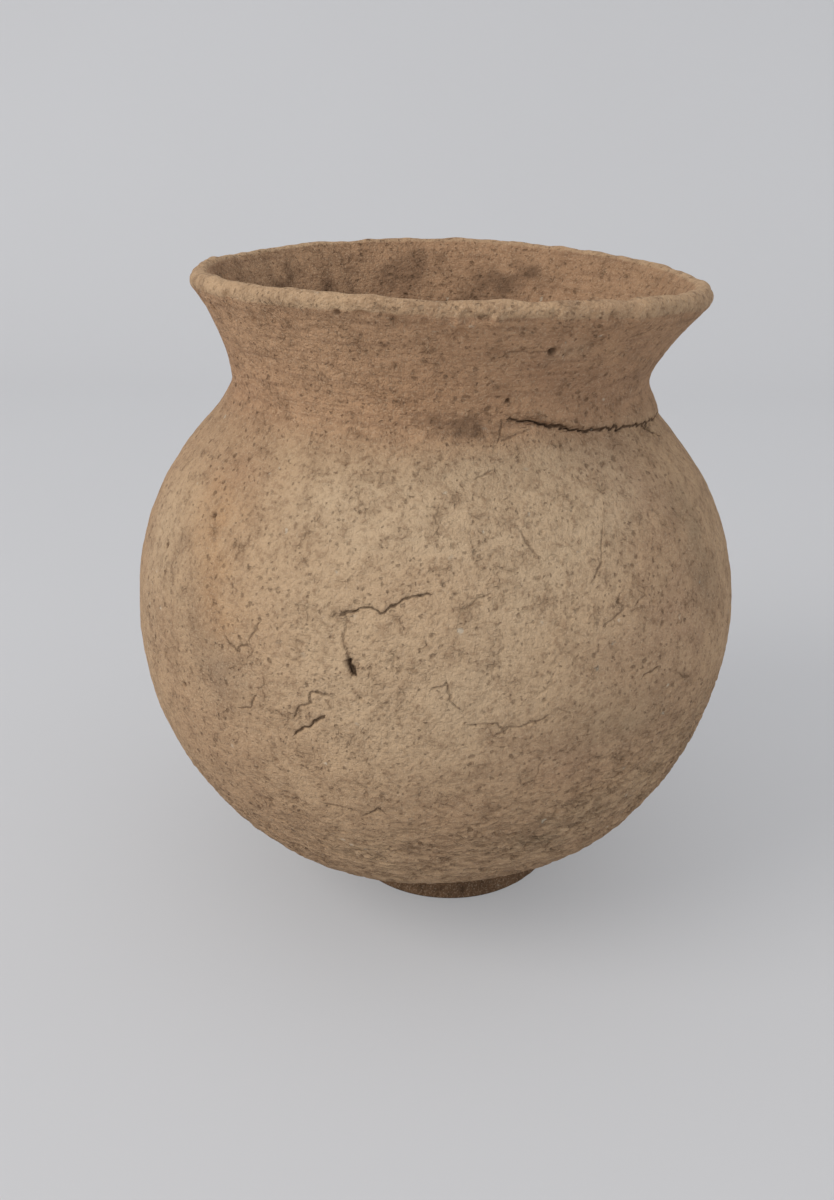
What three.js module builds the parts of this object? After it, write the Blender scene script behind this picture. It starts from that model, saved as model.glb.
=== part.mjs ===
// Wide-mouthed pottery jar: hand-built, unglazed earthenware.
//
// The jar is raised from separate pieces of clay, one on top of another: a flat foot disc, a
// saucer-shaped bottom, five coils for the belly and the shoulder, a collar for the neck and a
// flared coil for the rim. Neighbouring pieces meet in a slanted joint, because each coil is
// dragged down over the outside of the one below it. Millimetres, +Z up. The origin is the
// centre of the foot's flat underside.

import * as THREE from 'three';

// Foot disc
const footRadius = 21.3;
const footHeight = 5.2;
const footTaper = 1.0;
const footEdge = 0.8;

// Body, outside
const bellyRadius = 58.5;
const bellyHeight = 60.5;
const shoulderRise = 40.1;
const shoulderFillet = 4.6;

// Neck and rim, outside
const neckRadius = 38.8;
const neckStraight = 4.4;
const flareStart = 5.5;
const flareRise = 16.3;
const rimRadius = 46.1;

// Thickness of the clay
const floorWall = 8.5;
const bodyWall = 4.6;
const neckWall = 4.2;
const lipWall = 3.2;

// Joints between the pieces of clay
const jointGap = 0.3;
const jointSlant = 3.0;

// Heights of the joints on the outside: each coil's width counts from the widest ring of the
// belly or from the foot of the neck
const baseJointDrop = 41.0;
const lowerJointDrop = 20.0;
const middleJointRise = 0.5;
const upperJointRise = 19.0;
const shoulderJointDrop = 9.5;
const rimJointDrop = 7.5;

// The hand-made shape: the body stands a little to one side of the foot, and the rim is a
// little higher at the left and at the front and back
const bodyShift = -3.4;
const rimShift = -0.7;
const rimTilt = 0.031;
const rimWave = 0.7;

// Fineness of the faceted surface
const turnSteps = 48;
const ringStep = 4.5;
const lipSteps = 5;

const neckFoot = bellyHeight + shoulderRise;
const waistHeight = neckFoot + neckStraight;
const lipHeight = waistHeight + flareRise;

// The outside of the jar is one curve from the pole of the round bottom to the lip: two quarters
// of ellipses for the body, a fillet up to the waist of the neck, and the flare. The lower
// ellipse runs through the top edge of the foot, and the upper one through the foot of the neck.
function outsideCurve() {
  const bottomDrop = (bellyHeight - footHeight) / Math.sqrt(1 - (footRadius / bellyRadius) ** 2);
  const topRise = shoulderRise / Math.sqrt(1 - (neckRadius / bellyRadius) ** 2);
  const filletAngle = Math.asin((shoulderRise - shoulderFillet) / topRise);
  const filletStart = new THREE.Vector2(
    bellyRadius * Math.cos(filletAngle),
    bellyHeight + topRise * Math.sin(filletAngle),
  );
  const slope = (topRise / bellyRadius) / Math.tan(filletAngle);
  const filletCorner = new THREE.Vector2(
    neckRadius,
    Math.min(filletStart.y + (filletStart.x - neckRadius) * slope, waistHeight),
  );
  const waist = new THREE.Vector2(neckRadius, waistHeight);
  const flareCorner = new THREE.Vector2(neckRadius, waistHeight + flareStart);
  const lipEdge = new THREE.Vector2(rimRadius, lipHeight);

  const curve = new THREE.CurvePath();
  curve.add(new THREE.EllipseCurve(0, bellyHeight, bellyRadius, bottomDrop, -Math.PI / 2, 0));
  curve.add(new THREE.EllipseCurve(0, bellyHeight, bellyRadius, topRise, 0, filletAngle));
  curve.add(new THREE.QuadraticBezierCurve(filletStart, filletCorner, waist));
  curve.add(new THREE.QuadraticBezierCurve(waist, flareCorner, lipEdge));
  return curve;
}

const outside = outsideCurve();
const wallLength = outside.getLength();

// Distance along the curve at which it reaches a height, found by halving
function lengthAtHeight(height) {
  let low = 0;
  let high = wallLength;
  for (let step = 0; step < 40; step += 1) {
    const middle = (low + high) / 2;
    if (outside.getPointAt(middle / wallLength).y < height) {
      low = middle;
    } else {
      high = middle;
    }
  }
  return (low + high) / 2;
}

// The clay is thickest in the floor and thins towards the lip
function thicknessAt(height) {
  const floorTop = footHeight + floorWall;
  const fromFloor = THREE.MathUtils.smoothstep(height, footHeight, 3 * floorTop);
  const fromBody = THREE.MathUtils.smoothstep(height, bellyHeight, neckFoot);
  const fromNeck = THREE.MathUtils.smoothstep(height, waistHeight, lipHeight);
  const body = THREE.MathUtils.lerp(floorWall, bodyWall, fromFloor);
  const neck = THREE.MathUtils.lerp(body, neckWall, fromBody);
  return THREE.MathUtils.lerp(neck, lipWall, fromNeck);
}

// A point in the wall: a distance along the outside, and a depth from 0 outside to 1 inside
function wallPoint(length, depth) {
  const share = THREE.MathUtils.clamp(length / wallLength, 0, 1);
  const point = outside.getPointAt(share);
  const along = outside.getTangentAt(share);
  const outward = new THREE.Vector2(along.y, -along.x);
  return point.addScaledVector(outward, -depth * thicknessAt(point.y));
}

// Points along one side of the wall, both ends included
function wallLine(fromLength, toLength, depth) {
  const steps = Math.max(2, Math.ceil(Math.abs(toLength - fromLength) / ringStep));
  const points = [];
  for (let step = 0; step <= steps; step += 1) {
    const length = THREE.MathUtils.lerp(fromLength, toLength, step / steps);
    points.push(wallPoint(length, depth));
  }
  return points;
}

// A joint lies lower on the outside than on the inside. Each piece stops half a gap short of it,
// measured along the wall, so that the gap square to the slant is jointGap.
function jointEdge(height, side) {
  const length = lengthAtHeight(height);
  const halfGap = 0.5 * jointGap * Math.hypot(1, jointSlant / thicknessAt(height));
  return {
    outer: length - jointSlant / 2 + side * halfGap,
    inner: length + jointSlant / 2 + side * halfGap,
  };
}

// The round end of the lip, from its outer edge over the crest to its inner edge
function lipArc() {
  const outer = wallPoint(wallLength, 0);
  const inner = wallPoint(wallLength, 1);
  const centre = outer.clone().lerp(inner, 0.5);
  const points = [];
  for (let step = 1; step < lipSteps; step += 1) {
    points.push(outer.clone().rotateAround(centre, Math.PI * step / lipSteps));
  }
  return points;
}

// The hand-made lean and the uneven rim, the same for every piece, so that neighbours still fit
function shapeByHand(geometry) {
  const position = geometry.getAttribute('position');
  const point = new THREE.Vector3();
  for (let index = 0; index < position.count; index += 1) {
    point.fromBufferAttribute(position, index);
    const aboveFoot = THREE.MathUtils.smoothstep(point.z, footHeight, 3 * footHeight);
    const intoNeck = THREE.MathUtils.smoothstep(point.z, neckFoot - shoulderFillet, lipHeight);
    const intoRim = THREE.MathUtils.smoothstep(point.z, waistHeight, lipHeight);
    const turn = Math.atan2(point.y, point.x);
    point.z -= intoRim * (rimTilt * point.x + rimWave * Math.cos(2 * turn));
    point.x += aboveFoot * THREE.MathUtils.lerp(bodyShift, rimShift, intoNeck);
    position.setXYZ(index, point.x, point.y, point.z);
  }
  return geometry;
}

// One piece of clay: its profile turned about the jar's upright axis
function turnedPiece(name, profile, colour) {
  const geometry = new THREE.LatheGeometry(profile, turnSteps);
  geometry.rotateX(Math.PI / 2);
  shapeByHand(geometry);
  geometry.computeVertexNormals();
  const material = new THREE.MeshStandardMaterial({ color: colour, roughness: 0.95, metalness: 0 });
  const mesh = new THREE.Mesh(geometry, material);
  mesh.name = name;
  return mesh;
}

// A flat disc with a slightly tapered edge. Its top carries the bottom of the body.
function footDisc() {
  const profile = [
    new THREE.Vector2(0, 0),
    new THREE.Vector2(footRadius - footEdge, 0),
    new THREE.Vector2(footRadius, footEdge),
    new THREE.Vector2(footRadius - footTaper, footHeight),
    new THREE.Vector2(0, footHeight),
  ];
  return turnedPiece('foot_disc', profile, '#a58468');
}

// The saucer-shaped bottom: flat where it sits on the foot, round outside and inside
function baseBowl(topHeight) {
  const seatHeight = footHeight + jointGap;
  const top = jointEdge(topHeight, -1);
  const profile = [
    new THREE.Vector2(0, seatHeight),
    ...wallLine(lengthAtHeight(seatHeight), top.outer, 0),
    ...wallLine(top.inner, 0, 1),
  ];
  profile.at(-1).x = 0;
  return turnedPiece('base_bowl', profile, '#a88a6c');
}

// A ring of clay between two joints
function coil(name, lowHeight, highHeight, colour) {
  const low = jointEdge(lowHeight, 1);
  const high = jointEdge(highHeight, -1);
  const profile = [
    ...wallLine(low.outer, high.outer, 0),
    ...wallLine(high.inner, low.inner, 1),
  ];
  profile.push(profile[0].clone());
  return turnedPiece(name, profile, colour);
}

// The last ring, flared outwards and pinched to a round lip
function rimCoil(lowHeight) {
  const low = jointEdge(lowHeight, 1);
  const profile = [
    ...wallLine(low.outer, wallLength, 0),
    ...lipArc(),
    ...wallLine(wallLength, low.inner, 1),
  ];
  profile.push(profile[0].clone());
  return turnedPiece('rim_coil', profile, '#b39276');
}

const baseJoint = bellyHeight - baseJointDrop;
const rimJoint = lipHeight - rimJointDrop;
const coils = [
  ['lower_belly_coil', bellyHeight - lowerJointDrop, '#a48666'],
  ['middle_belly_coil', bellyHeight - middleJointRise, '#ad8e6e'],
  ['upper_belly_coil', bellyHeight + upperJointRise, '#b09272'],
  ['lower_shoulder_coil', neckFoot - shoulderJointDrop, '#aa8c6e'],
  ['upper_shoulder_coil', neckFoot, '#a3866a'],
  ['neck_collar', rimJoint, '#a68468'],
];

const jar = new THREE.Group();
jar.add(footDisc(), baseBowl(baseJoint));
let lowHeight = baseJoint;
for (const [name, highHeight, colour] of coils) {
  jar.add(coil(name, lowHeight, highHeight, colour));
  lowHeight = highHeight;
}
jar.add(rimCoil(rimJoint));

export default jar;
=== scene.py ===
# %% [markdown]
# # A hand-built earthenware jar
# This notebook makes the looks of a wide-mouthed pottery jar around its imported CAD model. The
# CAD model holds the pieces of clay at their real size. Here each piece gets its fine surface:
# the lumps left by fingers, wipe marks, pits, cracks and the fired colours of the clay.

# %% Load the frame
import bpy
import numpy as np
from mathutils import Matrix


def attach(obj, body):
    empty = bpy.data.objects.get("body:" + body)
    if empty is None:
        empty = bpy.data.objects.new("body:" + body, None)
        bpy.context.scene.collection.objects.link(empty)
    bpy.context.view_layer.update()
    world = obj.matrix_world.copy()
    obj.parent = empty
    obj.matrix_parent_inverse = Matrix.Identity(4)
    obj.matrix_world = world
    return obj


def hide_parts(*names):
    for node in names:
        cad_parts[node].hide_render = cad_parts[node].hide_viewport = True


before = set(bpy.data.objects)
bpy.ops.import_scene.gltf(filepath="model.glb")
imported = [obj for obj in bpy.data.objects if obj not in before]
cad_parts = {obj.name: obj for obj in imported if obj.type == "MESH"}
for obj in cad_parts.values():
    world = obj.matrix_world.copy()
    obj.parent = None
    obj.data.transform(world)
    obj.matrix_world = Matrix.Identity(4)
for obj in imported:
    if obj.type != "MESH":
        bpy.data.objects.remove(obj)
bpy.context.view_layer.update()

# %% [markdown]
# ## Sizes
# The jar is turned about an upright axis before the potter's hand pushes it out of true, so a
# dozen sizes say its whole outside. They are in millimetres.

# %% Sizes of the jar in millimetres
FOOT_RADIUS = 21.3
FOOT_HEIGHT = 5.2
BELLY_RADIUS = 58.5
BELLY_HEIGHT = 60.5
SHOULDER_RISE = 40.1
SHOULDER_FILLET = 4.6
NECK_RADIUS = 38.8
NECK_STRAIGHT = 4.4
FLARE_START = 5.5
FLARE_RISE = 16.3
RIM_RADIUS = 46.1
FLOOR_WALL, BODY_WALL, NECK_WALL, LIP_WALL = 8.5, 4.6, 4.2, 3.2
JOINT_GAP = 0.3

NECK_FOOT = BELLY_HEIGHT + SHOULDER_RISE
WAIST_HEIGHT = NECK_FOOT + NECK_STRAIGHT
LIP_HEIGHT = WAIST_HEIGHT + FLARE_RISE

# The hand-made lean of the body over the foot, and the uneven rim
BODY_SHIFT, RIM_SHIFT = -3.4, -0.7
RIM_TILT, RIM_WAVE = 0.031, 0.7

# Heights at which one coil of clay ends and the next begins
JOINTS = {
    "base_bowl": (FOOT_HEIGHT + JOINT_GAP, BELLY_HEIGHT - 41.0),
    "lower_belly_coil": (BELLY_HEIGHT - 41.0, BELLY_HEIGHT - 20.0),
    "middle_belly_coil": (BELLY_HEIGHT - 20.0, BELLY_HEIGHT - 0.5),
    "upper_belly_coil": (BELLY_HEIGHT - 0.5, BELLY_HEIGHT + 19.0),
    "lower_shoulder_coil": (BELLY_HEIGHT + 19.0, NECK_FOOT - 9.5),
    "upper_shoulder_coil": (NECK_FOOT - 9.5, NECK_FOOT),
    "neck_collar": (NECK_FOOT, LIP_HEIGHT - 7.5),
    "rim_coil": (LIP_HEIGHT - 7.5, LIP_HEIGHT),
}

# %% [markdown]
# ## Camera
# The photograph was taken from close by, looking down into the mouth. A camera fitted to the
# jar's outline and to the ellipses of its rim and foot gives these values.

# %% Camera
CAMERA_PLACE = (0.0007, -0.2070, 0.1476)
CAMERA_DOWN = 23.42
CAMERA_LEFT = 2.08
FOCAL_PIXELS = 1100
PHOTO_HEIGHT = 1200
SENSOR = 36.0

camera_data = bpy.data.cameras.new("camera")
camera_data.sensor_width = SENSOR
camera_data.lens = SENSOR * FOCAL_PIXELS / PHOTO_HEIGHT
camera_data.clip_start = 0.01
camera = bpy.data.objects.new("camera", camera_data)
camera.location = CAMERA_PLACE
camera.rotation_euler = (np.radians(90 - CAMERA_DOWN), 0, np.radians(CAMERA_LEFT))
bpy.context.scene.collection.objects.link(camera)
bpy.context.scene.camera = camera
print("lens", round(camera_data.lens, 2), "mm")

# %% [markdown]
# ## The outside curve
# A cut through the wall shows one curve from the middle of the round bottom to the lip: two
# quarters of ellipses for the body, a fillet into the waist of the neck, and the flare. It
# could be drawn as a Bezier curve and spun. Working it out as arrays gives every later step
# the distance along the wall, which is what coils, wipe marks and cracks follow.


# %% The outside curve
def smoothstep(low, high, x):
    """3t^2 - 2t^3 with t running from 0 at low to 1 at high."""
    t = np.clip((x - low) / (high - low), 0, 1)
    return t * t * (3 - 2 * t)


def mix(a, b, t):
    """a where t is 0, b where t is 1."""
    return a + (b - a) * t


def bezier(a, b, c, t):
    """(1-t)^2 a + 2t(1-t) b + t^2 c for points a, b, c."""
    t = t[:, None]
    return (1 - t) ** 2 * np.array(a) + 2 * t * (1 - t) * np.array(b) + t**2 * np.array(c)


def outside_curve(samples=1500):
    """Radius and height: R cos a and H + B sin a on the body, then two quadratic curves."""
    drop = (BELLY_HEIGHT - FOOT_HEIGHT) / np.sqrt(1 - (FOOT_RADIUS / BELLY_RADIUS) ** 2)
    rise = SHOULDER_RISE / np.sqrt(1 - (NECK_RADIUS / BELLY_RADIUS) ** 2)
    top = np.arcsin((SHOULDER_RISE - SHOULDER_FILLET) / rise)
    low = np.linspace(-np.pi / 2, 0, samples)
    high = np.linspace(0, top, samples)
    body_low = np.stack([BELLY_RADIUS * np.cos(low), BELLY_HEIGHT + drop * np.sin(low)], 1)
    body_high = np.stack([BELLY_RADIUS * np.cos(high), BELLY_HEIGHT + rise * np.sin(high)], 1)
    start = body_high[-1]
    corner = (NECK_RADIUS, start[1] + (start[0] - NECK_RADIUS) * rise / BELLY_RADIUS / np.tan(top))
    waist = (NECK_RADIUS, WAIST_HEIGHT)
    t = np.linspace(0, 1, samples)
    fillet = bezier(start, corner, waist, t)
    flare = bezier(waist, (NECK_RADIUS, WAIST_HEIGHT + FLARE_START), (RIM_RADIUS, LIP_HEIGHT), t)
    return np.concatenate([body_low, body_high[1:], fillet[1:], flare[1:]])


CURVE = outside_curve()
STEP = np.linalg.norm(np.diff(CURVE, axis=0), axis=1)
LENGTH = np.concatenate([[0], np.cumsum(STEP)])
WALL_LENGTH = LENGTH[-1]
TANGENT = np.gradient(CURVE, LENGTH, axis=0)
TANGENT /= np.linalg.norm(TANGENT, axis=1)[:, None]
print("length of the wall outside", round(WALL_LENGTH, 1), "mm")


def along(length, values):
    """One column of values, read at a distance along the curve."""
    return np.interp(length, LENGTH, values)


def length_at(height):
    """Distance along the curve at which it reaches a height."""
    return np.interp(height, CURVE[:, 1], LENGTH)


def thickness(height):
    """The wall: thick in the floor, thinner in the body, the neck and then the lip."""
    body = mix(FLOOR_WALL, BODY_WALL, smoothstep(FOOT_HEIGHT, 3 * (FOOT_HEIGHT + FLOOR_WALL), height))
    neck = mix(body, NECK_WALL, smoothstep(BELLY_HEIGHT, NECK_FOOT, height))
    return mix(neck, LIP_WALL, smoothstep(WAIST_HEIGHT, LIP_HEIGHT, height))

# %% [markdown]
# ## Rows and columns of the skin
# One closed skin covers the jar: up the outside, over the lip, down the inside to the floor.
# It is a grid of rows along the wall and columns around it, so each later step is a formula on
# two arrays. Columns stand closer at the front, and rows end where one coil meets the next, so
# two neighbouring pieces share the very same ring of points and no seam shows.

# %% Rows and columns
COLUMNS = 1024
FRONT_CROWDING = 0.2
OUTSIDE_STEP, NECK_STEP, INSIDE_STEP, FLOOR_STEP = 0.38, 0.5, 1.5, 2.0
LIP_ROWS = 12
FLOOR_START = 1.2

even_turn = np.linspace(-np.pi, np.pi, COLUMNS, endpoint=False)
ANGLE = even_turn - FRONT_CROWDING * np.sin(even_turn)


def steps(low, high, gap):
    """Evenly spaced values from low up to, but without, high."""
    return np.linspace(low, high, int(np.ceil((high - low) / gap)), endpoint=False)


def wall(length, depth):
    """A point of the curve moved inwards by depth along its normal, and that normal."""
    tangent = np.stack([along(length, TANGENT[:, 0]), along(length, TANGENT[:, 1])], 1)
    normal = np.stack([tangent[:, 1], -tangent[:, 0]], 1)
    point = np.stack([along(length, CURVE[:, 0]), along(length, CURVE[:, 1])], 1)
    return point - np.reshape(depth, (-1, 1)) * normal, normal, tangent


edges = [float(length_at(low)) for low, high in JOINTS.values()] + [WALL_LENGTH]
outside = np.concatenate([steps(a, b, OUTSIDE_STEP) for a, b in zip(edges, edges[1:])] + [[edges[-1]]])
inside_edges = [FLOOR_START] + edges[1:]
inside_gaps = [FLOOR_STEP] + [INSIDE_STEP] * 5 + [NECK_STEP] * 2
inside_parts = [steps(a, b, g) for a, b, g in zip(inside_edges, inside_edges[1:], inside_gaps)]
inside = np.concatenate(inside_parts + [[edges[-1]]])[::-1]

out_point, out_normal, _ = wall(outside, 0)
in_point, in_normal, _ = wall(inside, thickness(along(inside, CURVE[:, 1])))
lip_turn = np.linspace(0, np.pi, LIP_ROWS + 2)[1:-1, None]
lip_centre, lip_normal, lip_tangent = wall(np.array([WALL_LENGTH]), LIP_WALL / 2)
lip_way = np.cos(lip_turn) * lip_normal + np.sin(lip_turn) * lip_tangent
PROFILE = np.concatenate([out_point, lip_centre + LIP_WALL / 2 * lip_way, in_point])
OUTWARD = np.concatenate([out_normal, lip_way, -in_normal])
ROWS = len(PROFILE)
OUT_ROWS, IN_START = len(outside), len(outside) + LIP_ROWS
REACH = np.concatenate([outside, WALL_LENGTH + LIP_WALL / 2 * lip_turn[:, 0], inside])
out_edge = np.searchsorted(outside, edges)
in_edge = ROWS - 1 - np.searchsorted(inside[::-1], inside_edges)
print("skin of", ROWS, "rows and", COLUMNS, "columns")

# %% [markdown]
# ## Points, before the hand moves them
# Every point of the skin is the profile turned about the upright axis. Noise and marks push it
# along its own outward direction. Last of all the whole jar leans and its rim waves, with the
# same formula as the CAD model, so the fine skin lies on the CAD pieces.

# %% Points of the true-turned jar
turn = ANGLE[None, :]
TURNED = np.stack([
    PROFILE[:, :1] * np.sin(turn),
    -PROFILE[:, :1] * np.cos(turn),
    PROFILE[:, 1:] + 0 * turn,
], -1)
PUSH = np.stack([
    OUTWARD[:, :1] * np.sin(turn),
    -OUTWARD[:, :1] * np.cos(turn),
    OUTWARD[:, 1:] + 0 * turn,
], -1)
HEIGHT = TURNED[..., 2]
ACROSS = np.degrees(ANGLE)[None, :] + 0 * HEIGHT
IS_OUTSIDE = (np.arange(ROWS) < OUT_ROWS)[:, None] + 0 * ACROSS
IS_INSIDE = (np.arange(ROWS) >= IN_START)[:, None] + 0 * ACROSS


def by_hand(points):
    """The rim tips and waves, then the body is shifted over the foot and the rim a little."""
    x, y, z = np.moveaxis(points, -1, 0)
    above_foot = smoothstep(FOOT_HEIGHT, 3 * FOOT_HEIGHT, z)
    into_neck = smoothstep(NECK_FOOT - SHOULDER_FILLET, LIP_HEIGHT, z)
    into_rim = smoothstep(WAIST_HEIGHT, LIP_HEIGHT, z)
    wave = RIM_TILT * x + RIM_WAVE * np.cos(2 * np.arctan2(y, x))
    shift = above_foot * mix(BODY_SHIFT, RIM_SHIFT, into_neck)
    return np.stack([x + shift, y, z - into_rim * wave], -1)


# %% [markdown]
# ## Noise
# Hand-made clay is uneven at every size, from dents as wide as a palm to sand grains. Gradient
# noise gives smooth bumps of about one size; a few sizes of it are added up. It reads the
# point in space, so the skin closes around the jar without a seam. All draws are seeded.

# %% Gradient noise
dice = np.random.default_rng(11)
ORDER = dice.permutation(256)
SLOPES = dice.normal(size=(256, 3))
SLOPES /= np.linalg.norm(SLOPES, axis=1)[:, None]


def noise(points, size, shift=0.0):
    """Random slopes at the corners of cells of that size, blended by 6t^5 - 15t^4 + 10t^3."""
    place = points / np.asarray(size, dtype=float) + shift
    cell = np.floor(place).astype(int)
    rest = place - cell
    fade = rest**3 * (rest * (rest * 6 - 15) + 10)
    total = np.zeros(points.shape[:-1])
    for corner in np.ndindex(2, 2, 2):
        i, j, k = np.moveaxis((cell + corner) & 255, -1, 0)
        slope = SLOPES[ORDER[(ORDER[(ORDER[i] + j) & 255] + k) & 255]]
        total += np.where(corner, fade, 1 - fade).prod(-1) * ((rest - corner) * slope).sum(-1)
    return 1.6 * total


# %% [markdown]
# ## Relief of the hand-built wall
# Palms and fingers leave wide dents, sand and chaff leave grain. The neck was wiped with a wet
# rag while it turned, which leaves thin level streaks. The lower third was scraped and dried
# unevenly: its skin is wrinkled in short ridges. The inside of the neck is brushed up and down.

# %% Relief from hands and tools, in millimetres
relief = 0.42 * noise(TURNED, 38, 3.1) + 0.22 * noise(TURNED, 17, 5.7)
relief += 0.16 * noise(TURNED, 6.5, 9.2) + 0.08 * noise(TURNED, 2.6, 1.3)
relief += 0.055 * noise(TURNED, 1.2, 7.9)

wide = noise(TURNED, 14, 21.5)
ripple_top = mix(38.0, 56.0, smoothstep(-15, 45, ACROSS)) + 6 * wide
RIPPLED = smoothstep(-12, 14, ripple_top - HEIGHT) * IS_OUTSIDE
bent = TURNED + 1.1 * wide[..., None] + np.array([0, 0, 0.12]) * TURNED[..., :1]
wrinkle = 1 - smoothstep(0.0, 0.26, np.abs(noise(bent, (3.4, 3.4, 1.3), 2.2)))
wrinkle *= smoothstep(-0.35, 0.35, noise(TURNED, 5, 19.1))
relief += RIPPLED * (0.2 * noise(bent, (2.4, 2.4, 0.9), 4.4) - 0.42 * wrinkle)

# The bowl was trimmed thinner just above the foot
relief -= 1.5 * smoothstep(-22, -9, -HEIGHT) * IS_OUTSIDE

WIPED = smoothstep(NECK_FOOT - 3, WAIST_HEIGHT, HEIGHT) * IS_OUTSIDE
streak = noise(TURNED, (13, 13, 0.8), 6.1)
relief += WIPED * 0.06 * streak
BRUSHED = smoothstep(WAIST_HEIGHT - 12, WAIST_HEIGHT, HEIGHT) * IS_INSIDE
relief += BRUSHED * 0.08 * noise(TURNED, (1.3, 1.3, 11), 8.3)
print("relief from", round(float(relief.min()), 2), "to", round(float(relief.max()), 2), "mm")

# %% [markdown]
# ## Cracks
# Drying and age opened cracks in the wall. A crack follows a short list of places, each given
# as degrees round from the front and height in millimetres. The distance of each skin point to
# that line is worked out on the wall and bent by fine noise, so the line is jagged. The groove
# is cut into the mesh, and the distance with its sign is kept, so the material can draw the
# dark line finer than the grid.

# %% Measuring the distance to a line on the wall
RADIUS = np.maximum(PROFILE[:, 0], 1.0)[:, None]
jagged = np.stack([noise(TURNED, 1.7, 12.4), noise(TURNED, 1.7, 33.8)])
jagged += 0.5 * np.stack([noise(TURNED, 0.8, 15.2), noise(TURNED, 0.8, 18.6)])
side_distance = np.full((ROWS, COLUMNS), 3.0)
crack_reach = np.zeros((ROWS, COLUMNS))
hollow = np.zeros((ROWS, COLUMNS))


def near(angles, lengths, margin):
    """The block of rows and columns within a margin in millimetres of some places."""
    radius = np.interp(np.mean(lengths), REACH[:OUT_ROWS], PROFILE[:OUT_ROWS, 0])
    spread = np.degrees(margin / radius)
    first, last = np.searchsorted(REACH[:IN_START], [min(lengths) - margin, max(lengths) + margin])
    left, right = np.searchsorted(np.degrees(ANGLE), [min(angles) - spread, max(angles) + spread])
    return slice(first, last), slice(left, right)


def cut(places, half_width, depth, rough=0.35, dark=1.0):
    """A groove along straight stretches: depth times 1 - (distance / half width)^2."""
    angles = np.array([place[0] for place in places], dtype=float)
    lengths = length_at(np.array([place[1] for place in places], dtype=float))
    block = near(angles, lengths, half_width + 2.0)
    middle = angles.mean()
    right = np.radians(ACROSS[block] - middle) * RADIUS[block[0]] + rough * jagged[0][block]
    up = REACH[block[0], None] + rough * jagged[1][block]
    line_radius = np.interp(lengths, REACH[:OUT_ROWS], PROFILE[:OUT_ROWS, 0])
    line = np.stack([np.radians(angles - middle) * line_radius, lengths], 1)
    start, way = line[:-1], np.diff(line, axis=0)
    away = np.stack([right, up], -1)[..., None, :] - start
    t = np.clip((away * way).sum(-1) / (way**2).sum(-1), 0, 1)
    gap = away - t[..., None] * way
    distance = np.linalg.norm(gap, axis=-1)
    nearest = distance.argmin(-1)[..., None]
    side = np.sign(way[:, 0] * away[..., 1] - way[:, 1] * away[..., 0])
    distance = np.take_along_axis(distance, nearest, -1)[..., 0]
    side = np.take_along_axis(side, nearest, -1)[..., 0]
    hollow[block] = np.maximum(hollow[block], depth * np.clip(1 - (distance / half_width) ** 2, 0, 1))
    closer = distance < np.abs(side_distance[block])
    side_distance[block] = np.where(closer, side * np.maximum(distance, 1e-4), side_distance[block])
    reach = dark * smoothstep(-1.0, -0.5, -distance) * min(1.0, half_width / 0.3)
    crack_reach[block] = np.where(closer, reach, crack_reach[block])


def press(place, radius, depth):
    """A pit: depth times 1 - (distance / radius)^2; a depth below 0 gives a lump."""
    lengths = length_at(np.array([place[1]], dtype=float))
    block = near([place[0]], lengths, radius + 1)
    right = np.radians(ACROSS[block] - place[0]) * RADIUS[block[0]] + 0.2 * radius * jagged[0][block]
    up = REACH[block[0], None] - lengths[0] + 0.2 * radius * jagged[1][block]
    hollow[block] += depth * np.clip(1 - (right**2 + up**2) / radius**2, 0, 1) ** 1.5
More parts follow.
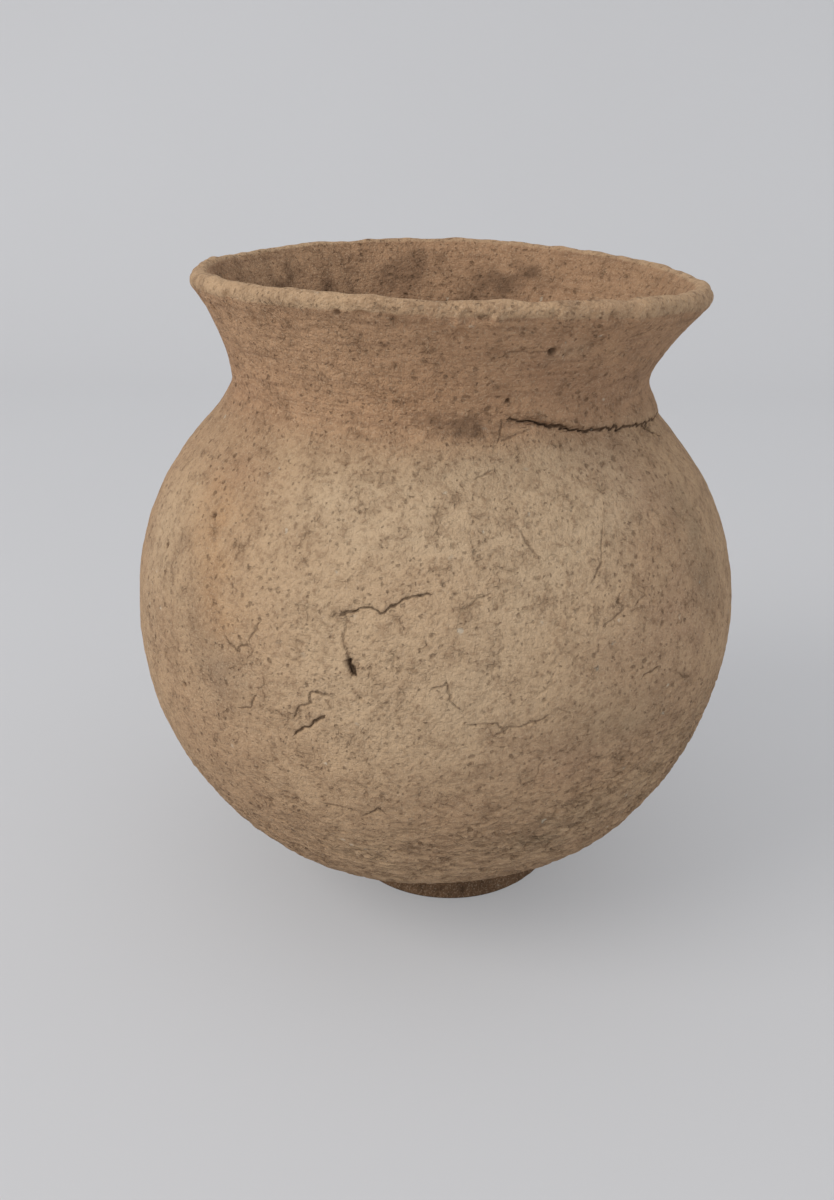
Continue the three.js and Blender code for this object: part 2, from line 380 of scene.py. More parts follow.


# %% Cracks that can be seen from the front
# Each has a name, a few places in whole degrees and millimetres, half its width and its
# depth in millimetres, and how dark its line is; noise makes the straight parts jagged
CRACKS = {
    "open seam of the neck": ([(18, 105), (26, 104), (36, 102), (48, 101)], 0.34, 0.55, 1.0),
    "end of the seam": ([(48, 101), (61, 100), (77, 99), (88, 99)], 0.32, 0.5, 1.0),
    "lower lip of the seam": ([(61, 100), (69, 97)], 0.24, 0.3, 0.8),
    "long crack": ([(-15, 78), (-9, 80), (-7, 79), (-4, 81), (0, 82)], 0.26, 0.32, 1.0),
    "slit": ([(-12, 72), (-11, 70)], 0.5, 0.9, 1.0),
    "hairline over the slit": ([(-12, 72), (-13, 75), (-13, 78)], 0.18, 0.22, 0.7),
    "short wide crack": ([(-21, 58), (-18, 60), (-16, 62)], 0.34, 0.42, 1.0),
    "loop": ([(-21, 61), (-20, 63), (-18, 64), (-18, 66), (-15, 66)], 0.24, 0.3, 0.8),
    "left hook": ([(-31, 60), (-29, 61), (-28, 63)], 0.22, 0.28, 0.8),
    "left cup": ([(-34, 71), (-32, 70), (-30, 71)], 0.22, 0.28, 0.8),
    "left tick": ([(-30, 72), (-28, 75)], 0.2, 0.25, 0.7),
    "shoulder tick": ([(17, 90), (19, 87)], 0.18, 0.22, 0.7),
    "middle hairline": ([(10, 82), (6, 80)], 0.18, 0.22, 0.7),
    "right dash": ([(30, 75), (34, 77)], 0.2, 0.25, 0.7),
    "left arc": ([(34, 79), (33, 78), (35, 77)], 0.18, 0.2, 0.6),
    "right arc": ([(37, 77), (39, 78), (38, 79)], 0.18, 0.2, 0.6),
    "right hairline": ([(34, 89), (31, 84), (29, 82)], 0.18, 0.2, 0.6),
    "right slash": ([(37, 65), (40, 66)], 0.24, 0.3, 0.8),
    "far slash": ([(46, 63), (49, 61)], 0.2, 0.25, 0.7),
    "wavy crack": ([(7, 62), (11, 62), (12, 61), (15, 61), (19, 62)], 0.22, 0.25, 0.7),
    "spur of the wavy crack": ([(13, 61), (11, 60)], 0.2, 0.25, 0.7),
    "hooked crack": ([(1, 68), (3, 69), (4, 66), (5, 65)], 0.2, 0.25, 0.7),
    "flake": ([(19, 54), (18, 50), (16, 49), (15, 51), (17, 52)], 0.18, 0.2, 0.6),
    "low wave": ([(-10, 43), (-8, 45), (-7, 44)], 0.24, 0.3, 0.8),
    "low dash": ([(-17, 44), (-12, 44)], 0.2, 0.25, 0.7),
    "neck fold": ([(15, 102), (16, 104)], 0.2, 0.25, 0.7),
    "neck dash": ([(16, 102), (22, 103)], 0.2, 0.25, 0.7),
    "shoulder dash": ([(10, 97), (13, 98)], 0.18, 0.22, 0.7),
    "rim scratch": ([(40, 118), (45, 119)], 0.18, 0.2, 0.6),
    "steep scratch": ([(63, 110), (61, 115)], 0.18, 0.2, 0.6),
    "scratch by the scar": ([(12, 116), (21, 116)], 0.18, 0.2, 0.6),
}
for places, half_width, depth, dark in CRACKS.values():
    cut(places, half_width, depth, 0.5 if half_width > 0.25 else 0.4, dark)
print(len(CRACKS), "cracks, the widest", round(2 * max(c[1] for c in CRACKS.values()), 1), "mm")

# %% Pits, lumps, and marks all round that the photograph doesn't show
# Pits and lumps by name: place, radius and depth in millimetres; a depth below 0 is a lump
PRESSED = {
    "far left pit": ((-58, 80), 0.8, 0.9), "low left pit": ((-46, 59), 0.7, 0.7),
    "high left pit": ((-46, 88), 0.7, 0.8), "pit under the slit": ((-10, 66), 0.6, 0.5),
    "neck pit": ((16, 108), 0.6, 0.7), "hole of the scar": ((22, 116), 1.0, 0.9),
    "scar": ((26, 116), 1.6, 0.35), "end of the scar": ((31, 117), 1.3, 0.3),
    "left lip lump": ((-2, 121), 1.6, -0.6), "lip lump": ((3, 121), 2.0, -0.8),
    "right lip lump": ((9, 121), 1.6, -0.6), "far lip lump": ((38, 121), 1.8, -0.5),
    "lip notch": ((-21, 121), 0.9, 0.6), "left rim pit": ((-60, 119), 1.0, 0.5),
}
for place, radius, depth in PRESSED.values():
    press(place, radius, depth)

for _ in range(420):
    place = (dice.uniform(-176, 176), dice.uniform(9, 120))
    press(place, dice.uniform(0.35, 0.85), dice.uniform(0.12, 0.4))

for _ in range(70):
    angle, height = dice.uniform(-172, 172), dice.uniform(26, 96)
    walk = np.cumsum(dice.normal(0, (1.6, 0.9), (5, 2)), axis=0) + (angle, height)
    size = dice.uniform(0.14, 0.24) if abs(angle) < 62 else dice.uniform(0.15, 0.36)
    cut([tuple(place) for place in walk], size, size, 0.5, 0.28 if abs(angle) < 62 else 0.5)
print("cracks and pits down to", round(float(hollow.max()), 2), "mm deep")

# %% [markdown]
# ## The seam under the neck
# The neck was a separate collar of clay, pressed on and smeared down. At the right the smear
# has opened to a ledge with a shadow under it; further left it's a soft crease. Both are soft
# steps across the seam line, strongest where the ledge is open.

# %% The seam of the neck
seam_angle = [-180, -60, 0, 22, 30, 45, 75, 120, 180]
seam_height = [103, 105, 103, 105, 103, 101, 99, 101, 103]
seam = np.interp(ACROSS, seam_angle, seam_height) + 0.25 * noise(TURNED, 5, 40.2)
open_ledge = smoothstep(12, 24, ACROSS) * smoothstep(-130, -85, -ACROSS)
above_seam = HEIGHT - seam
ledge = smoothstep(-0.15, 0.25, above_seam) * smoothstep(-6.5, -0.5, -above_seam)
crease = np.exp(-((above_seam / 1.3) ** 2))
relief += IS_OUTSIDE * (0.75 * open_ledge * ledge - (0.3 - 0.2 * open_ledge) * crease)

# %% [markdown]
# ## The edge of the lip
# The lip was pinched between finger and thumb, so its thickness and height change from place
# to place, and its outer edge carries small chips.

# %% The edge of the lip
lip_zone = smoothstep(WALL_LENGTH - 7, WALL_LENGTH, REACH)[:, None] * (~IS_INSIDE.astype(bool))
lip_zone = lip_zone + smoothstep(WALL_LENGTH - 6, WALL_LENGTH, REACH)[:, None] * IS_INSIDE
relief += lip_zone * (0.36 * noise(TURNED, 9, 50.3) + 0.26 * noise(TURNED, 4.2, 52.9))
relief -= lip_zone * 0.8 * smoothstep(0.45, 0.75, noise(TURNED, 3.4, 61.7))

SKIN = by_hand(TURNED + (relief - hollow)[..., None] * PUSH)
across_way = np.roll(SKIN, -1, axis=1) - np.roll(SKIN, 1, axis=1)
along_way = np.gradient(SKIN, axis=0)
NORMAL = np.cross(across_way, along_way)
NORMAL /= np.maximum(np.linalg.norm(NORMAL, axis=-1), 1e-9)[..., None]
print("skin box", np.round(SKIN.min((0, 1)), 1), np.round(SKIN.max((0, 1)), 1), "mm")

# %% [markdown]
# ## Fired colours
# The fire and the ground coloured the clay in wide soft patches: buff at the front, orange and
# rose where the flame licked it, grey and olive smudges, a dark stain under the neck and in the
# mouth. One heavy grey patch on the right of the neck is painted shade. Each patch is a soft
# round area on the wall, broken up by noise, and it is stored on the points. The fine grain
# comes later, in the material.


# %% Patches of colour
def patch(*areas):
    """The sum of weight * exp(-distance^2) over areas (angle, height, half width, half height)."""
    total = np.zeros((ROWS, COLUMNS))
    for angle, height, half_width, half_height, weight in areas:
        away = (ACROSS - angle + 180) % 360 - 180
        right = np.radians(away) * RADIUS / half_width
        up = (HEIGHT - height) / half_height
        total += weight * np.exp(-(right**2) - up**2)
    return total


broken = 0.65 + 0.7 * noise(TURNED, 11, 71.4) + 0.5 * noise(TURNED, 4, 77.7)
ORANGE = patch((-42, 84, 6, 10, 1), (-36, 76, 7, 6, 1), (-50, 92, 8, 8, 0.5), (28, 47, 12, 6, 0.35),
               (-8, 108, 16, 4, 0.5), (150, 70, 22, 16, 0.7), (-120, 50, 20, 12, 0.5))
ROSE = patch((49, 86, 9, 12, 0.6), (45, 72, 14, 10, 0.7), (28, 52, 12, 6, 0.7), (34, 97, 9, 5, 0.35),
             (-43, 95, 8, 4, 0.5), (30, 112, 14, 7, 0.5), (-150, 90, 20, 12, 0.6),
             (110, 60, 18, 16, 0.5))
# The grey patch at 48 degrees and 110 mm is painted shade on the right of the neck; the other grey patches
# are fired smudges
GREY = patch((-45, 75, 5, 5, 0.9), (-36, 64, 7, 5, 1), (-41, 69, 6, 6, 0.6), (-52, 79, 5, 6, 0.6),
             (-60, 66, 8, 10, 0.4), (20, 97, 14, 4, 0.25), (48, 110, 14, 8, 1.4), (-28, 120, 18, 3, 0.5),
             (170, 95, 24, 12, 0.7), (100, 84, 14, 10, 0.5))
OLIVE = patch((58, 84, 7, 9, 0.8), (57, 76, 7, 6, 0.6), (33, 58, 9, 5, 0.8), (24, 36, 12, 6, 0.9),
              (60, 44, 16, 9, 0.7), (-110, 76, 18, 14, 0.5), (150, 40, 20, 10, 0.7))
STAIN = patch((1, 105.3, 7, 1.6, 0.7), (8, 104.3, 8, 2.2, 1), (16, 103.8, 6, 2.2, 0.8),
              (2, 100, 10, 2.5, 0.4),
              (-30, 107, 10, 6, 0.35), (-7, 33, 6, 3, 0.5), (60, 106, 14, 7, 0.35))
mouth = patch((-150, 116, 22, 7, 0.85), (177, 115, 20, 6, 0.8), (-122, 119, 8, 4, 0.9),
              (157, 117, 9, 4, 0.8),
              (60, 116, 30, 8, 0.4), (-50, 114, 30, 8, 0.3))
STAIN = STAIN * IS_OUTSIDE + mouth * IS_INSIDE
masks = [np.clip(value * broken, 0, 1) for value in (ORANGE, ROSE, GREY, OLIVE, STAIN)]
ORANGE, ROSE, GREY, OLIVE, STAIN = masks
PALE = patch((27, 116.3, 3, 1.2, 1.3), (22.5, 115, 1.5, 1, 1.2), (2, 74, 36, 20, 1.0),
             (4, 94, 26, 7, 1.2), (28, 92, 16, 7, 1.1), (-62, 78, 10, 16, 0.6),
             (-170, 74, 36, 20, 0.5))
PALE = np.clip(PALE * (0.9 + 0.4 * wide), 0, 1) * IS_OUTSIDE
print("mean of each colour patch", [round(float(mask.mean()), 3) for mask in masks])

# %% [markdown]
# ## Colours and nodes
# Colours are written as they look on a screen. One function turns them to the linear numbers
# that the renderer adds up. One more adds a node to a material with its settings and links.


# %% Colour and node helpers
def linear(code):
    """sRGB hex to linear RGBA: c / 12.92 below 0.04045, else ((c + 0.055) / 1.055)^2.4."""
    value = np.array([int(code[i:i + 2], 16) / 255 for i in (1, 3, 5)])
    value = np.where(value <= 0.04045, value / 12.92, ((value + 0.055) / 1.055) ** 2.4)
    return (*[float(v) for v in value], 1.0)


def add(tree, kind, inputs, **settings):
    """A node with its settings; each input is given a number, a colour or another's socket."""
    node = tree.nodes.new(kind)
    for name, value in settings.items():
        setattr(node, name, value)
    for name, value in inputs.items():
        if isinstance(value, bpy.types.NodeSocket):
            tree.links.new(value, node.inputs[name])
        else:
            node.inputs[name].default_value = value
    return node


# %% [markdown]
# ## Unglazed earthenware
# The jar is low-fired clay with sand and chaff in it, smoothed by hand and left unglazed. It
# is matt, buff to brown, with dark specks and burnt-out pits, hairline crackle, and painted
# shade that darkens the deeper pits and cracks. The patches and the cracks come from the
# points; the grain is drawn here from noise whose size is given in millimetres. Height in
# millimetres goes to one Bump node.

# %% Earthenware, hand-smoothed and low-fired
EARTHENWARE_ROUGHNESS = 0.92
EARTHENWARE_IOR = 1.5
EARTHENWARE_SPECULAR = 0.2
MILLIMETRE = 0.001


def earthenware(name, buff, brown, dark):
    """Two fired colours in soft clouds, patches over them, then specks, crackle and cracks."""
    material = bpy.data.materials.new(name)
    material.use_nodes = True
    tree = material.node_tree
    tree.nodes.clear()
    place = add(tree, "ShaderNodeTexCoord", {}).outputs["Object"]
    scaled = {0: place, "Scale": 1 / MILLIMETRE}
    mm = add(tree, "ShaderNodeVectorMath", scaled, operation="SCALE").outputs[0]
    fired = add(tree, "ShaderNodeAttribute", {}, attribute_name="fired").outputs["Vector"]
    marks = add(tree, "ShaderNodeAttribute", {}, attribute_name="marks").outputs["Vector"]
    crack = add(tree, "ShaderNodeAttribute", {}, attribute_name="crack").outputs["Vector"]
    worked_and_painted_shade = add(tree, "ShaderNodeAttribute", {}, attribute_name="worked_and_painted_shade").outputs["Vector"]
    orange, rose, grey = add(tree, "ShaderNodeSeparateXYZ", {0: fired}).outputs
    olive, stain, pale = add(tree, "ShaderNodeSeparateXYZ", {0: marks}).outputs
    side, reach, deep = add(tree, "ShaderNodeSeparateXYZ", {0: crack}).outputs
    # Painted shade in the wrinkle grooves, the wiped and brushed streaks, and painted shade under the
    # neck, low on the bowl and inside
    wrinkle_groove_shade, wiped, shaded = add(tree, "ShaderNodeSeparateXYZ", {0: worked_and_painted_shade}).outputs
    zones = add(tree, "ShaderNodeAttribute", {}, attribute_name="zones").outputs["Vector"]
    scraped = add(tree, "ShaderNodeSeparateXYZ", {0: zones}).outputs[0]

    # Noise by the size of its cells: clouds 26 mm, mottle 4 mm, grain 1 mm, sand 0.35 mm
    sizes = [(1 / 26, 4, 0.6), (1 / 4, 5, 0.65), (1.0, 3, 0.6), (2.9, 2, 0.5)]
    clouds, mottle, grain, sand = [
        add(tree, "ShaderNodeTexNoise", {"Vector": mm, "Scale": a, "Detail": b, "Roughness": c}).outputs[0]
        for a, b, c in sizes
    ]

    # Burnt-out chaff and dark grit: spots 2 mm apart, present in some cells only
    warp = add(tree, "ShaderNodeTexNoise", {"Vector": mm, "Scale": 0.9, "Detail": 2}).outputs["Color"]
    warped = {0: warp, 1: (1.4, 1.4, 1.4), 2: mm}
    bent = add(tree, "ShaderNodeVectorMath", warped, operation="MULTIPLY_ADD").outputs[0]
    spots = add(tree, "ShaderNodeTexVoronoi", {"Vector": bent, "Scale": 0.62, "Randomness": 1.0})
    dot = add(tree, "ShaderNodeMapRange", {0: spots.outputs["Distance"], 1: 0.13, 2: 0.34, 3: 1, 4: 0},
              interpolation_type="SMOOTHSTEP").outputs[0]
    chance = add(tree, "ShaderNodeSeparateColor", {0: spots.outputs["Color"]}).outputs
    some = add(tree, "ShaderNodeMapRange", {0: chance[0], 1: 0.45, 2: 0.75}).outputs[0]
    crowd = add(tree, "ShaderNodeMapRange", {0: clouds, 1: 0.36, 2: 0.62, 3: 0.25, 4: 1.0}).outputs[0]
    speck = add(tree, "ShaderNodeMath", {0: dot, 1: some}, operation="MULTIPLY").outputs[0]
    speck = add(tree, "ShaderNodeMath", {0: speck, 1: crowd}, operation="MULTIPLY").outputs[0]
    bright = add(tree, "ShaderNodeMapRange", {0: chance[1], 1: 0.975, 2: 0.99}).outputs[0]
    bright = add(tree, "ShaderNodeMath", {0: dot, 1: bright}, operation="MULTIPLY").outputs[0]

    # Fine grit: dots 1.1 mm apart
    grit = add(tree, "ShaderNodeTexVoronoi", {"Vector": bent, "Scale": 1.15, "Randomness": 1.0})
    chance = add(tree, "ShaderNodeSeparateColor", {0: grit.outputs["Color"]}).outputs
    dot = add(tree, "ShaderNodeMapRange", {0: grit.outputs["Distance"], 1: 0.14, 2: 0.36, 3: 1, 4: 0},
              interpolation_type="SMOOTHSTEP").outputs[0]
    some = add(tree, "ShaderNodeMapRange", {0: chance[0], 1: 0.55, 2: 0.8}).outputs[0]
    fine = add(tree, "ShaderNodeMath", {0: dot, 1: some}, operation="MULTIPLY").outputs[0]

    # Scraped skin of the lower third: short level wrinkles 1 mm apart, up and down. Their valleys sink in
    # the bump and are also darkened as painted shade
    flattened = {0: bent, 1: (0.3, 0.3, 1.0)}
    level = add(tree, "ShaderNodeVectorMath", flattened, operation="MULTIPLY").outputs[0]
    wrinkles = add(tree, "ShaderNodeTexNoise", {"Vector": level, "Scale": 1.1, "Detail": 2}).outputs[0]
    valley_depth_and_shade = add(tree, "ShaderNodeMapRange", {0: wrinkles, 1: 0.36, 2: 0.5, 3: 1, 4: 0}).outputs[0]
    valley_depth_and_shade = add(tree, "ShaderNodeMath", {0: valley_depth_and_shade, 1: scraped}, operation="MULTIPLY").outputs[0]
    # Stains soak in unevenly, so their edge breaks up with the mottle
    soaked = add(tree, "ShaderNodeMath", {0: mottle, 1: 1.9, 2: -1.1}, operation="MULTIPLY_ADD").outputs[0]
    soaked = add(tree, "ShaderNodeMath", {0: soaked, 1: stain}, operation="ADD").outputs[0]
    soaked = add(tree, "ShaderNodeMath", {0: soaked, 1: stain}, operation="MULTIPLY").outputs[0]

    # Crackle of the dried skin: cell edges 3.4 mm apart, only here and there
    cells = add(tree, "ShaderNodeTexVoronoi", {"Vector": bent, "Scale": 0.29, "Randomness": 1.0},
                feature="DISTANCE_TO_EDGE").outputs["Distance"]
    line = add(tree, "ShaderNodeMapRange", {0: cells, 1: 0.015, 2: 0.06, 3: 1, 4: 0},
               interpolation_type="SMOOTHSTEP").outputs[0]
    part = add(tree, "ShaderNodeMapRange", {0: mottle, 1: 0.5, 2: 0.62}).outputs[0]
    crackle = add(tree, "ShaderNodeMath", {0: line, 1: part}, operation="MULTIPLY").outputs[0]

    # The cracks cut in the mesh: dark within 0.06 mm of the middle line, fading to 0.26 mm
    apart = add(tree, "ShaderNodeMath", {0: side}, operation="ABSOLUTE").outputs[0]
    core = add(tree, "ShaderNodeMapRange", {0: apart, 1: 0.06, 2: 0.26, 3: 1, 4: 0},
               interpolation_type="SMOOTHSTEP").outputs[0]
    core = add(tree, "ShaderNodeMath", {0: core, 1: reach}, operation="MULTIPLY").outputs[0]
    # Painted shade: pits and cracks get darker the deeper they are cut, from 0.12 mm to 0.6 mm
    pit = add(tree, "ShaderNodeMapRange", {0: deep, 1: 0.12, 2: 0.6}).outputs[0]
    stretched = {0: mm, 1: (0.06, 0.06, 1.1)}
    streaks = add(tree, "ShaderNodeVectorMath", stretched, operation="MULTIPLY").outputs[0]
    streak = add(tree, "ShaderNodeTexNoise", {"Vector": streaks, "Scale": 1.0, "Detail": 4}).outputs[0]
    streak = add(tree, "ShaderNodeMapRange", {0: streak, 1: 0.5, 2: 0.68}).outputs[0]
    streak = add(tree, "ShaderNodeMath", {0: streak, 1: wiped}, operation="MULTIPLY").outputs[0]
    cloudy = add(tree, "ShaderNodeMapRange", {0: clouds, 1: 0.38, 2: 0.62}).outputs[0]
    mottled = add(tree, "ShaderNodeMapRange", {0: mottle, 1: 0.42, 2: 0.66}).outputs[0]
    grainy = add(tree, "ShaderNodeMapRange", {0: grain, 1: 0.5, 2: 0.72}).outputs[0]
    sandy = add(tree, "ShaderNodeMapRange", {0: sand, 1: 0.3, 2: 0.48, 3: 1, 4: 0}).outputs[0]

    # Layers of colour: how far each covers what is under it, and its colour. Most are fired colours and
    # marks of the clay; some are painted shade, as noted at each
    layers = [
        (cloudy, 0.48, brown), (pale, 0.7, "#cfb696"), (orange, 0.38, "#bd8e5f"),
        # The grey layer also carries the painted shade on the right of the neck
        (rose, 0.4, "#9e7763"), (olive, 0.45, "#7f735c"), (grey, 0.45, "#7d6c5a"),
        (wiped, 0.5, "#ba8e6c"), (streak, 0.35, "#7c5e49"),
        # The shaded layer is painted shade under the neck, low on the bowl and inside
        (mottled, 0.38, dark), (shaded, 0.5, "#6d553f"), (grainy, 0.42, dark), (sandy, 0.36, "#d3ba9d"),
        # The wrinkle grooves and their valleys are darkened here as painted shade
        (wrinkle_groove_shade, 0.36, "#5b4531"), (valley_depth_and_shade, 0.25, "#6b543e"), (fine, 0.42, "#5c4632"),
        (soaked, 0.58, "#523d2f"), (speck, 0.58, "#553f2b"), (crackle, 0.2, "#61482f"),
        # The pit layer is painted shade in the deeper pits and cracks
        (pit, 0.7, "#4a3524"), (core, 0.62, "#3a291c"), (bright, 0.6, "#d9cbb4"),
    ]
    colour = linear(buff)
    for mask, cover, code in layers:
        share = {0: mask, 1: cover}
        share = add(tree, "ShaderNodeMath", share, operation="MULTIPLY", use_clamp=True).outputs[0]
        over = {0: share, 6: colour, 7: linear(code)}
        colour = add(tree, "ShaderNodeMix", over, data_type="RGBA").outputs[2]

    # Height in millimetres: grain and sand stand up, specks, crackle and cracks go in
    height = 0.0
    for mask, rise in [(mottle, 0.75), (grain, 0.6), (sand, 0.28), (speck, -0.3), (crackle, -0.2),
                       (core, -0.3), (streak, -0.04),
                       (fine, -0.22), (valley_depth_and_shade, -0.5)]:
        raised = {0: mask, 1: rise, 2: height}
        height = add(tree, "ShaderNodeMath", raised, operation="MULTIPLY_ADD").outputs[0]
    bump = {"Height": height, "Distance": MILLIMETRE, "Strength": 0.9}
    bump = add(tree, "ShaderNodeBump", bump).outputs[0]
    shader = add(tree, "ShaderNodeBsdfPrincipled", {
        "Base Color": colour, "Normal": bump, "Roughness": EARTHENWARE_ROUGHNESS,
        "IOR": EARTHENWARE_IOR, "Specular IOR Level": EARTHENWARE_SPECULAR,
    })
    add(tree, "ShaderNodeOutputMaterial", {"Surface": shader.outputs[0]})
    return material


CLAY = earthenware("earthenware, hand-smoothed", "#c6a683", "#ac896a", "#84674e")
# The foot gets the same clay with darker colours
FOOT_CLAY = earthenware("earthenware, darker foot", "#84674d", "#6b533f", "#4a3728")
print("materials", [material.name for material in (CLAY, FOOT_CLAY)])

# %% [markdown]
# ## From rows to pieces
# Each coil of clay is a closed ring: its rows of the outside, a flat joint, its rows of the
# inside, and a joint back to the start. The normals come from the whole skin, so light runs on
# across a joint. The same strip layout gives each piece a map for its baked colours.


# %% Making one piece from rows
def fine_piece(name, node, material, points, normals, values, poles=()):
    """Quads from each row to the next; the last row joins the first, or each end has a pole."""
    rows, columns = points.shape[:2]
    count = rows if not poles else rows - 1
    first = np.arange(count)[:, None]
    second = (first + 1) % rows
    column = np.arange(columns)[None, :]
    after = (column + 1) % columns
    corners = [
        first * columns + column, first * columns + after,
        second * columns + after, second * columns + column,
    ]
    quads = np.stack(corners, -1).reshape(-1, 4)
    left, right = column / columns + 0 * first, (column + 1) / columns + 0 * first
    low, high = (first + 1) / (count + 2) + 0 * column, (first + 2) / (count + 2) + 0 * column
    layout = np.stack([left, low, right, low, right, high, left, high], -1).reshape(-1, 2)
    vertices = points.reshape(-1, 3)
    directions = normals.reshape(-1, 3)
    loops, sizes = quads.ravel(), [np.full(len(quads), 4)]
    if poles:
        vertices = np.concatenate([vertices, [pole for pole, way in poles]])
        directions = np.concatenate([directions, [way for pole, way in poles]])
        begin, end = len(vertices) - 2, len(vertices) - 1
        ring, following = column[0], after[0]
        last = (rows - 1) * columns
        lower = np.stack([following, ring, np.full(columns, begin)], -1)
        upper = np.stack([last + ring, last + following, np.full(columns, end)], -1)
        loops = np.concatenate([loops, lower.ravel(), upper.ravel()])
        sizes += [np.full(2 * columns, 3)]
        a, b = ring / columns, (ring + 1) / columns
        base, crown = 1 / (count + 2), 1 - 1 / (count + 2)
        fan_low = np.stack([b, a * 0 + base, a, a * 0 + base, (a + b) / 2, a * 0], -1)
        fan_high = np.stack([a, a * 0 + crown, b, a * 0 + crown, (a + b) / 2, a * 0 + 1], -1)
        layout = np.concatenate([layout, fan_low.reshape(-1, 2), fan_high.reshape(-1, 2)])
    sizes = np.concatenate(sizes)
    mesh = bpy.data.meshes.new(name)
    mesh.vertices.add(len(vertices))
    mesh.vertices.foreach_set("co", (vertices * MILLIMETRE).astype(np.float32).ravel())
    mesh.loops.add(len(loops))
    mesh.loops.foreach_set("vertex_index", loops.astype(np.int32))
    mesh.polygons.add(len(sizes))
    mesh.polygons.foreach_set("loop_start", (np.cumsum(sizes) - sizes).astype(np.int32))
    mesh.update(calc_edges=True)
    mesh.polygons.foreach_set("use_smooth", np.ones(len(sizes), dtype=bool))
    mesh.uv_layers.new(name="OFBake").data.foreach_set("uv", layout.astype(np.float32).ravel())
    for label, value in values.items():
        value = value.reshape(-1, 3)
        value = np.concatenate([value, np.zeros((len(vertices) - len(value), 3))])
        store = mesh.attributes.new(label, "FLOAT_VECTOR", "POINT")
        store.data.foreach_set("vector", value.astype(np.float32).ravel())
    mesh.validate()
    mesh.normals_split_custom_set_from_vertices(directions)
    mesh.materials.append(material)
    piece = bpy.data.objects.new(name, mesh)
    bpy.context.scene.collection.objects.link(piece)
    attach(piece, "root")
    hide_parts(node)
    triangles = sum(sizes - 2)
    print(name, triangles, "triangles, box", np.round(vertices.min(0), 1), np.round(vertices.max(0), 1))
    return piece


# %% The wall, coil by coil
# SHADED is painted shade: darker in a band all round under the neck, in a band low on the bowl above the
# foot, and over the whole inside
SHADED = np.clip(patch((0, 100, 400, 5, 0.25), (0, 12, 400, 9, 0.6)), 0, 1) + 0.35 * IS_INSIDE
FIELDS = {
    # The grey value here also holds the painted shade on the right of the neck
    "fired": np.stack([ORANGE, ROSE, GREY], -1),
    "marks": np.stack([OLIVE, STAIN, PALE], -1),
    "crack": np.stack([side_distance, crack_reach, hollow], -1),
    "zones": np.stack([RIPPLED] * 3, -1),
    # Painted shade in the wrinkle grooves, the wiped and brushed streaks, and the painted shade of SHADED
    "worked_and_painted_shade": np.stack([RIPPLED * wrinkle, np.clip(WIPED + BRUSHED, 0, 1), np.clip(SHADED, 0, 1)], -1),
}
SLOTS = ["lower_clay"] * 2 + ["body_clay"] * 4 + ["neck_clay"] * 2
for number, (node, slot) in enumerate(zip(JOINTS, SLOTS)):
    going_up = np.arange(out_edge[number], out_edge[number + 1] + 1)
    going_down = np.arange(in_edge[number + 1], in_edge[number] + 1)
    rows = np.concatenate([going_up, going_down])
    poles = ()
    if node == "rim_coil":
        rows = np.arange(out_edge[number], in_edge[number] + 1)
    if node == "base_bowl":
        under = by_hand(np.array([[0.0, 0.0, FOOT_HEIGHT + JOINT_GAP]]))[0]
        floor_point, _, _ = wall(np.array([0.0]), FLOOR_WALL)
        floor = by_hand(np.array([[0.0, 0.0, floor_point[0, 1]]]))[0]
        poles = ((under, (0, 0, -1)), (floor, (0, 0, 1)))
    values = {label: field[rows] for label, field in FIELDS.items()}
    fine_piece("fired_" + node, node, CLAY, SKIN[rows], NORMAL[rows], values, poles)

# %% [markdown]
# ## The foot
# The foot is a separate disc pressed under the round bottom. It's flat where the jar stands,
# with a worn, crumbly edge that spreads a little. Its profile goes from the middle below, round
# the edge and up the side to the middle above, and noise roughens all but the resting face.

# %% The foot disc
FOOT_TAPER, FOOT_EDGE, FOOT_SPREAD = 1.0, 0.8, 2.4
foot_profile = np.array([
    (1.0, 0), (FOOT_RADIUS - FOOT_TAPER - FOOT_EDGE + FOOT_SPREAD, 0),
    (FOOT_RADIUS - FOOT_TAPER + FOOT_SPREAD, FOOT_EDGE), (FOOT_RADIUS + 0.4, FOOT_HEIGHT - 0.6),
    (FOOT_RADIUS - 0.6, FOOT_HEIGHT), (1.0, FOOT_HEIGHT),
])
foot_length = np.concatenate([[0], np.cumsum(np.linalg.norm(np.diff(foot_profile, axis=0), axis=1))])
edge_from, edge_to = foot_length[1] - 1.5, foot_length[4] + 1.5
foot_rows = np.concatenate([
    np.linspace(0, edge_from, 10, endpoint=False),
    np.linspace(edge_from, edge_to, 36, endpoint=False),
    np.linspace(edge_to, foot_length[-1], 10),
])
foot_radius = np.interp(foot_rows, foot_length, foot_profile[:, 0])[:, None]
foot_height = np.interp(foot_rows, foot_length, foot_profile[:, 1])[:, None]
foot_points = np.stack([
    foot_radius * np.sin(turn), -foot_radius * np.cos(turn), foot_height + 0 * turn,
], -1)
side_part = smoothstep(0.0, 1.2, foot_height) * smoothstep(15, 20, foot_radius)
uneven = 0.35 * noise(foot_points, 7, 4.1) + 0.2 * noise(foot_points, 2.2, 8.8)
uneven += 0.12 * noise(foot_points, (3, 3, 0.9), 3.7)
swell = np.stack([np.sin(turn), -np.cos(turn), 0 * turn], -1)
foot_points = foot_points + (side_part * uneven)[..., None] * swell
foot_across = np.roll(foot_points, -1, axis=1) - np.roll(foot_points, 1, axis=1)
foot_normal = np.cross(foot_across, np.gradient(foot_points, axis=0))
foot_normal /= np.maximum(np.linalg.norm(foot_normal, axis=-1), 1e-9)[..., None]
foot_empty = np.zeros_like(foot_points)
foot_far = foot_empty + (3.0, 0, 0)
foot_values = {name: foot_empty for name in FIELDS}
foot_values["crack"] = foot_far
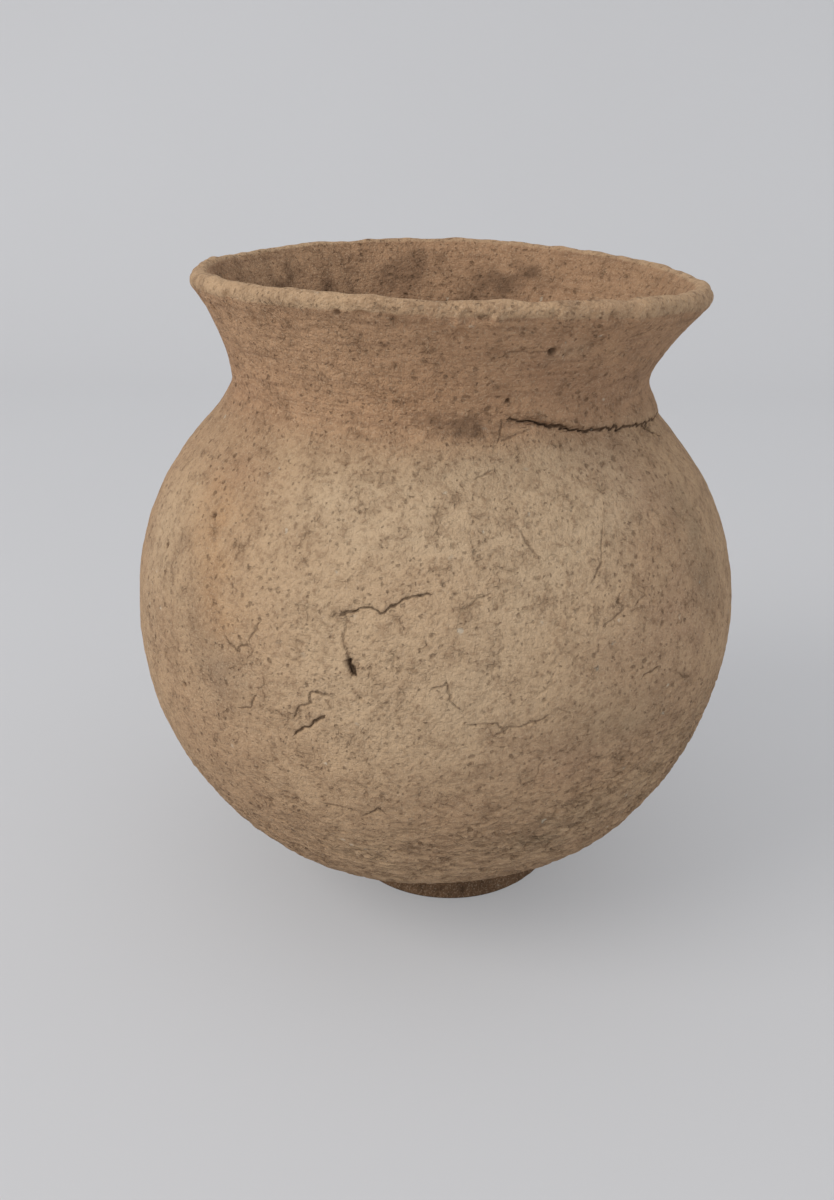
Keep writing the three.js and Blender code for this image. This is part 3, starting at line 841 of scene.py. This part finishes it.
foot_poles = (((0, 0, 0), (0, 0, -1)), ((0, 0, FOOT_HEIGHT), (0, 0, 1)))
fine_piece("fired_foot_disc", "foot_disc", FOOT_CLAY,
           foot_points, foot_normal, foot_values, foot_poles)

# %% [markdown]
# ## Floor, light and view
# The jar stands on pale grey paper that sweeps up behind it. A large soft lamp stands at the
# upper left in front, and an even grey sky fills the shadows, so the right side and the bottom
# fall off gently.

# %% Pale paper floor and backdrop
SWEEP_FRONT, SWEEP_BACK, SWEEP_BEND, SWEEP_TOP, SWEEP_HALF = -1.2, 0.45, 0.3, 1.6, 2.2
bend = np.linspace(0, np.pi / 2, 24)
path = np.concatenate([
    [(SWEEP_FRONT, 0.0)],
    np.stack([SWEEP_BACK + SWEEP_BEND * np.sin(bend), SWEEP_BEND * (1 - np.cos(bend))], 1),
    [(SWEEP_BACK + SWEEP_BEND, SWEEP_TOP)],
])
left_side = [(-SWEEP_HALF, y, z) for y, z in path]
right_side = [(SWEEP_HALF, y, z) for y, z in path]
count = len(path)
sheet_faces = [(i, count + i, count + i + 1, i + 1) for i in range(count - 1)]
paper_mesh = bpy.data.meshes.new("paper_sweep")
paper_mesh.from_pydata(left_side + right_side, [], sheet_faces)
paper_mesh.polygons.foreach_set("use_smooth", [True] * len(sheet_faces))
paper = bpy.data.materials.new("pale grey paper, matt")
paper.use_nodes = True
paper_tree = paper.node_tree
paper_tree.nodes.clear()
paper_place = add(paper_tree, "ShaderNodeTexCoord", {}).outputs["Object"]
paper_cloud = {"Vector": paper_place, "Scale": 3.0, "Detail": 3}
paper_cloud = add(paper_tree, "ShaderNodeTexNoise", paper_cloud).outputs[0]
paper_shades = {0: paper_cloud, 6: linear("#c9c9cb"), 7: linear("#d0d1d4")}
paper_colour = add(paper_tree, "ShaderNodeMix", paper_shades, data_type="RGBA").outputs[2]
paper_shader = add(paper_tree, "ShaderNodeBsdfPrincipled", {
    "Base Color": paper_colour, "Roughness": 0.8, "Specular IOR Level": 0.1,
}).outputs[0]
# The camera alone sees a share of plain glow in the paper, which lightens the jar's shadow on it
SEEN_GLOW = 0.35
glow = add(paper_tree, "ShaderNodeEmission", {"Color": linear("#d4d5d7"), "Strength": 1.0}).outputs[0]
seen = add(paper_tree, "ShaderNodeLightPath", {}).outputs["Is Camera Ray"]
seen = add(paper_tree, "ShaderNodeMath", {0: seen, 1: SEEN_GLOW}, operation="MULTIPLY").outputs[0]
paper_mix = add(paper_tree, "ShaderNodeMixShader", {0: seen, 1: paper_shader, 2: glow}).outputs[0]
add(paper_tree, "ShaderNodeOutputMaterial", {"Surface": paper_mix})
paper_mesh.materials.append(paper)
paper_sweep = bpy.data.objects.new("paper_sweep", paper_mesh)
bpy.context.scene.collection.objects.link(paper_sweep)

# %% Lamp and sky
LAMP_PLACE = (-0.78, -0.5, 0.8)
LAMP_SIZE, LAMP_POWER = 0.7, 5.2
SKY_STRENGTH = 0.74
lamp_data = bpy.data.lights.new("soft_lamp", "AREA")
lamp_data.shape = "DISK"
lamp_data.size = LAMP_SIZE
lamp_data.energy = LAMP_POWER
lamp_data.color = linear("#fffaf4")[:3]
lamp = bpy.data.objects.new("soft_lamp", lamp_data)
lamp.location = LAMP_PLACE
aim = np.array([0, 0, 0.07]) - LAMP_PLACE
flat_way = np.hypot(aim[0], aim[1])
lamp.rotation_euler = (np.arctan2(flat_way, -aim[2]), 0, np.arctan2(-aim[0], aim[1]))
bpy.context.scene.collection.objects.link(lamp)
world = bpy.data.worlds.new("even_sky")
world.use_nodes = True
world.node_tree.nodes.clear()
sky = add(world.node_tree, "ShaderNodeBackground", {"Color": linear("#fbfcff"), "Strength": SKY_STRENGTH})
add(world.node_tree, "ShaderNodeOutputWorld", {"Surface": sky.outputs[0]})
bpy.context.scene.world = world
bpy.context.scene.view_settings.view_transform = "Standard"
print("lamp", LAMP_POWER, "W at", LAMP_PLACE)
